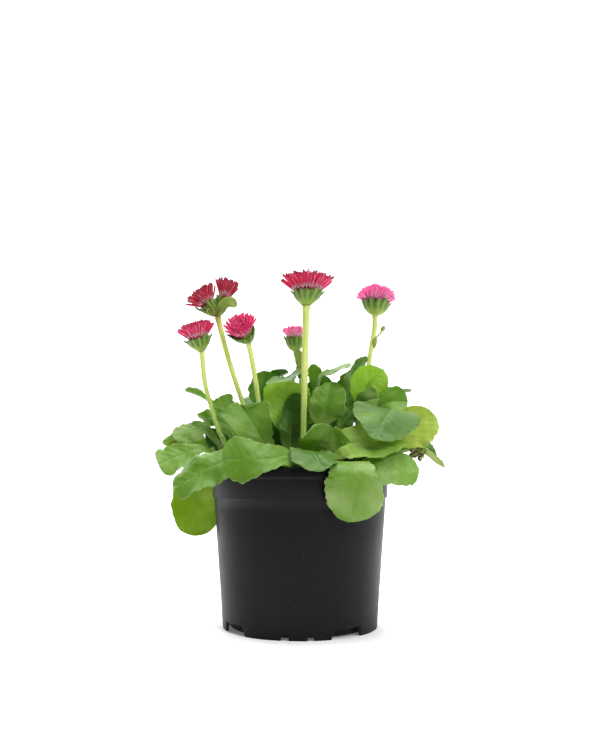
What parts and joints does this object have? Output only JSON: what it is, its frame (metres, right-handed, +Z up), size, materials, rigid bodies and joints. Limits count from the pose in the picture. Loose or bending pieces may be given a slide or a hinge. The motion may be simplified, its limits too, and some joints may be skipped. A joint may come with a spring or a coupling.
{
  "type": "potted daisy plant",
  "caption": "Potted English daisy: spoon-shaped toothed leaves and upright stalks with quilled crimson and pink heads, in a round black nursery pot with a collar and notched feet.",
  "frame": {"origin": "middle of the flat pad under the pot, on the pot's axis and on the surface it stands on", "axes": "+Z up along the pot's axis, -Y towards the front of the plant, +X to the right seen from the front"},
  "size_m": [0.19, 0.1427, 0.2302],
  "materials": {
    "pot": "satin moulded black",
    "peat": "rough, crumbly",
    "leaf": "satin, finely hairy",
    "leaf_grey": "satin, finely hairy",
    "leaf_bright": "satin, light shining through",
    "leaf_dark": "satin, in shade",
    "leaf_withered": "dry, papery",
    "stalk": "satin, finely hairy",
    "floret_crimson": "soft satin",
    "floret_wine": "soft satin",
    "floret_pink": "soft satin"
  },
  "bodies": {
    "root": {"florets_double_left": "floret_wine", "florets_double_right": "floret_wine", "florets_left": "floret_crimson", "florets_main": "floret_crimson", "florets_middle": "floret_crimson", "florets_right": "floret_pink", "florets_small": "floret_pink", "leaf_back_dark": "leaf_dark", "leaf_back_diamond": "leaf", "leaf_back_grey": "leaf_grey", "leaf_back_left": "leaf_grey", "leaf_back_roll": "leaf_dark", "leaf_fore_small": "leaf_dark", "leaf_front_broad": "leaf_bright", "leaf_front_drape": "leaf_grey", "leaf_front_fold": "leaf", "leaf_front_right": "leaf_grey", "leaf_front_rim": "leaf", "leaf_front_small": "leaf_grey", "leaf_front_wavy": "leaf", "leaf_left_curl": "leaf_bright", "leaf_left_dark": "leaf_dark", "leaf_left_droop": "leaf", "leaf_left_hanging": "leaf_bright", "leaf_left_high": "leaf", "leaf_left_light": "leaf_grey", "leaf_left_long": "leaf_grey", "leaf_left_notch": "leaf", "leaf_left_upright": "leaf", "leaf_middle_bright": "leaf_bright", "leaf_middle_dark": "leaf_dark", "leaf_middle_strip": "leaf", "leaf_middle_upright": "leaf", "leaf_rear_high_left": "leaf_grey", "leaf_rear_right": "leaf_grey", "leaf_rear_side": "leaf_grey", "leaf_right_cup": "leaf", "leaf_right_curl": "leaf_bright", "leaf_right_dark": "leaf_dark", "leaf_right_disc": "leaf_grey", "leaf_right_edge": "leaf_dark", "leaf_right_grey": "leaf_grey", "leaf_right_low": "leaf_dark", "leaf_right_outer": "leaf_bright", "leaf_right_tip": "leaf_grey", "leaf_right_withered": "leaf_withered", "leaf_side_high": "leaf", "leaves_core": "leaf_dark", "leaves_inner": "leaf_dark", "leaves_rear": "leaf", "leaves_side": "leaf", "pot": "pot", "soil": "peat", "stalk_double": "stalk", "stalk_left": "stalk", "stalk_main": "stalk", "stalk_middle": "stalk", "stalk_right": "stalk", "stalk_small": "stalk"}
  },
  "joints": []
}
